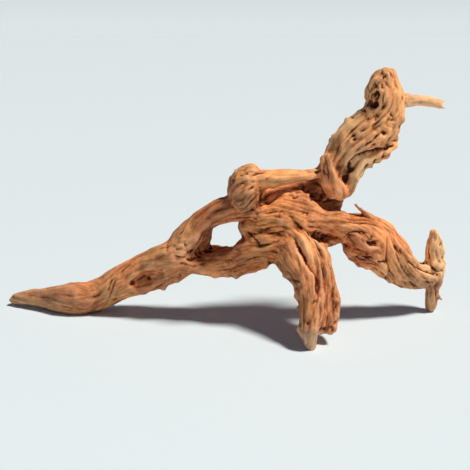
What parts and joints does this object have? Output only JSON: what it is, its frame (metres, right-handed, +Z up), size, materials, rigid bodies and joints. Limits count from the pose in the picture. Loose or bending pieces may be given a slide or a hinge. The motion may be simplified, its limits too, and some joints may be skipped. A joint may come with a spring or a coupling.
{
  "type": "dry driftwood root",
  "caption": "Bare, dry, gnarled root for an aquarium or terrarium: a long limb, two legs, a raised upper limb with a twig, and a swim-through hole.",
  "frame": {"origin": "centre of the footprint's box, on the surface that the root stands on", "axes": "+X along the root's length, from the long limb's tip to the right foot; +Y to the back, away from the front foot; +Z up"},
  "size_m": [0.4052, 0.115, 0.221],
  "materials": {
    "root_wood": "dry, weathered bare wood, matt"
  },
  "bodies": {
    "root": {"dry_root": "root_wood"}
  },
  "joints": []
}
